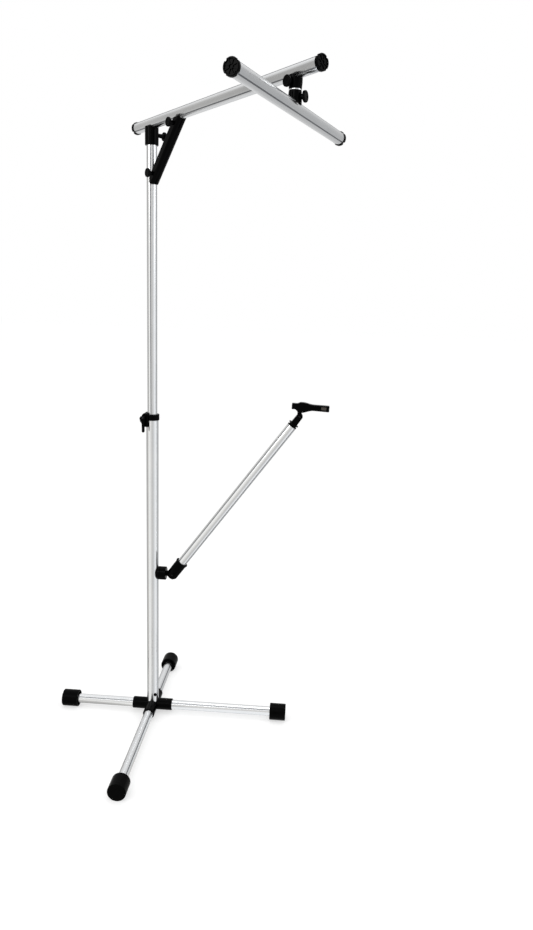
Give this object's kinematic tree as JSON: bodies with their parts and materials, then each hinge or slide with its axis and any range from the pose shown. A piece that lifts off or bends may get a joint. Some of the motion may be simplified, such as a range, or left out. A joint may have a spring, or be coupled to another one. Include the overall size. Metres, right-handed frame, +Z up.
{
  "type": "saxophone stand",
  "caption": "Floor stand of grooved aluminium tube: cross base on rubber feet, telescopic column, braced boom with a swivelling cross bar, and a hinged side arm with a tilting rest.",
  "frame": {"origin": "middle of the bounding box on the floor", "axes": "+Z up along the column, +X along the long leg under the side arm, -Y along the other long leg"},
  "size_m": [0.7068, 0.8702, 1.548],
  "materials": {
    "aluminium": "satin anodised",
    "steel": "zinc plated",
    "black_steel": "blackened",
    "rubber": "moulded, matt",
    "plastic": "moulded, fine grain"
  },
  "bodies": {
    "base": {"hub": "plastic", "right_leg": "aluminium", "far_leg": "aluminium", "left_leg": "aluminium", "near_leg": "aluminium", "right_foot": "rubber", "far_foot": "rubber", "left_foot": "rubber", "near_foot": "rubber", "column_screw": "plastic", "lower_column": "aluminium", "guide_bush": "plastic", "clamp_collar": "plastic", "clamp_bolt": "black_steel", "clamp_nut": "black_steel", "lever_pin": "plastic", "coupler_saddle": "plastic", "coupler_bolt": "steel", "coupler_nut": "steel"},
    "lever": {"cam_lever": "plastic"},
    "glide": {"column_glide": "plastic"},
    "mast": {"upper_column": "aluminium", "head_saddle": "plastic", "brace_bar": "plastic"},
    "head_screw": {"head_knob": "plastic", "head_stud": "steel"},
    "brace_upper_screw": {"brace_upper_knob": "plastic", "brace_upper_stud": "steel"},
    "brace_lower_screw": {"brace_lower_knob": "plastic", "brace_lower_stud": "steel"},
    "boom": {"boom_tube": "aluminium", "boom_front_cap": "plastic", "boom_rear_cap": "plastic"},
    "carriage": {"post_upper_saddle": "plastic", "post_ring": "aluminium", "swivel_bolt": "steel", "swivel_nut": "steel"},
    "carriage_screw": {"post_upper_knob": "plastic", "post_upper_stud": "steel"},
    "hanger": {"post_lower_saddle": "plastic"},
    "hanger_screw": {"post_lower_knob": "plastic", "post_lower_stud": "steel"},
    "bar": {"cross_bar": "aluminium", "bar_near_cap": "plastic", "bar_far_cap": "plastic"},
    "grip_ring": {"coupler_collar": "plastic"},
    "tongue": {"elbow_tongue": "plastic"},
    "arm": {"elbow_socket": "plastic", "elbow_pin": "black_steel", "arm_tube": "aluminium", "arm_ferrule": "plastic"},
    "swivel": {"rest_swivel": "plastic", "swivel_clip": "steel", "rest_pin": "black_steel"},
    "rest": {"rest_bar": "plastic"}
  },
  "joints": [
    {"name": "lever_hinge", "type": "hinge", "parent": "base", "child": "lever", "pos_m": [-0.11712, 0.15677, 0.838], "axis": [-1, 0, 0], "range_deg": [0, 110]},
    {"name": "column_slide", "type": "slide", "parent": "base", "child": "glide", "axis": [0, 0, 1], "range_m": [-0.17, 0.12]},
    {"name": "column_turn", "type": "hinge", "parent": "glide", "child": "mast", "pos_m": [-0.09752, 0.17927, 0], "axis": [0, 0, 1], "continuous": true},
    {"name": "head_knob_turn", "type": "hinge", "parent": "mast", "child": "head_screw", "pos_m": [-0.08541, 0.19018, 1.5105], "axis": [0.7431, 0.6691, 0], "continuous": true},
    {"name": "brace_upper_knob_turn", "type": "hinge", "parent": "mast", "child": "brace_upper_screw", "pos_m": [-0.02897, 0.08625, 1.515], "axis": [-0.7431, -0.6691, 0], "continuous": true},
    {"name": "brace_lower_knob_turn", "type": "hinge", "parent": "mast", "child": "brace_lower_screw", "pos_m": [-0.0922, 0.15647, 1.421], "axis": [-0.7431, -0.6691, 0], "continuous": true},
    {"name": "boom_slide", "type": "slide", "parent": "mast", "child": "boom", "axis": [0.6691, -0.7431, 0], "range_m": [-0.12, 0.04]},
    {"name": "carriage_slide", "type": "slide", "parent": "boom", "child": "carriage", "axis": [0.6691, -0.7431, 0], "range_m": [-0.12, 0.04]},
    {"name": "carriage_knob_turn", "type": "hinge", "parent": "carriage", "child": "carriage_screw", "pos_m": [0.24084, -0.2158, 1.5154], "axis": [-0.7431, -0.6691, 0], "continuous": true},
    {"name": "hanger_turn", "type": "hinge", "parent": "carriage", "child": "hanger", "pos_m": [0.25043, -0.20717, 1.5038], "axis": [0, 0, 1], "range_deg": [-100, 50]},
    {"name": "hanger_knob_turn", "type": "hinge", "parent": "hanger", "child": "hanger_screw", "pos_m": [0.26241, -0.21195, 1.4922], "axis": [0.9288, -0.3706, 0], "continuous": true},
    {"name": "bar_slide", "type": "slide", "parent": "hanger", "child": "bar", "axis": [-0.3706, -0.9288, 0], "range_m": [-0.2, 0.18]},
    {"name": "grip_ring_turn", "type": "hinge", "parent": "base", "child": "grip_ring", "pos_m": [-0.09752, 0.17927, 0.4155], "axis": [1, 0, 0], "continuous": true},
    {"name": "tongue_turn", "type": "hinge", "parent": "base", "child": "tongue", "pos_m": [-0.09752, 0.17927, 0.4155], "axis": [1, 0, 0], "range_deg": [-100, 100]},
    {"name": "elbow_hinge", "type": "hinge", "parent": "tongue", "child": "arm", "pos_m": [-0.04202, 0.17927, 0.4155], "axis": [0, 1, 0], "range_deg": [-15, 75]},
    {"name": "swivel_turn", "type": "hinge", "parent": "arm", "child": "swivel", "pos_m": [0.27949, 0.17927, 0.85803], "axis": [0.5878, 0, 0.809], "continuous": true},
    {"name": "rest_hinge", "type": "hinge", "parent": "swivel", "child": "rest", "pos_m": [0.27949, 0.17927, 0.85803], "axis": [0, 1, 0], "range_deg": [-45, 80]}
  ]
}
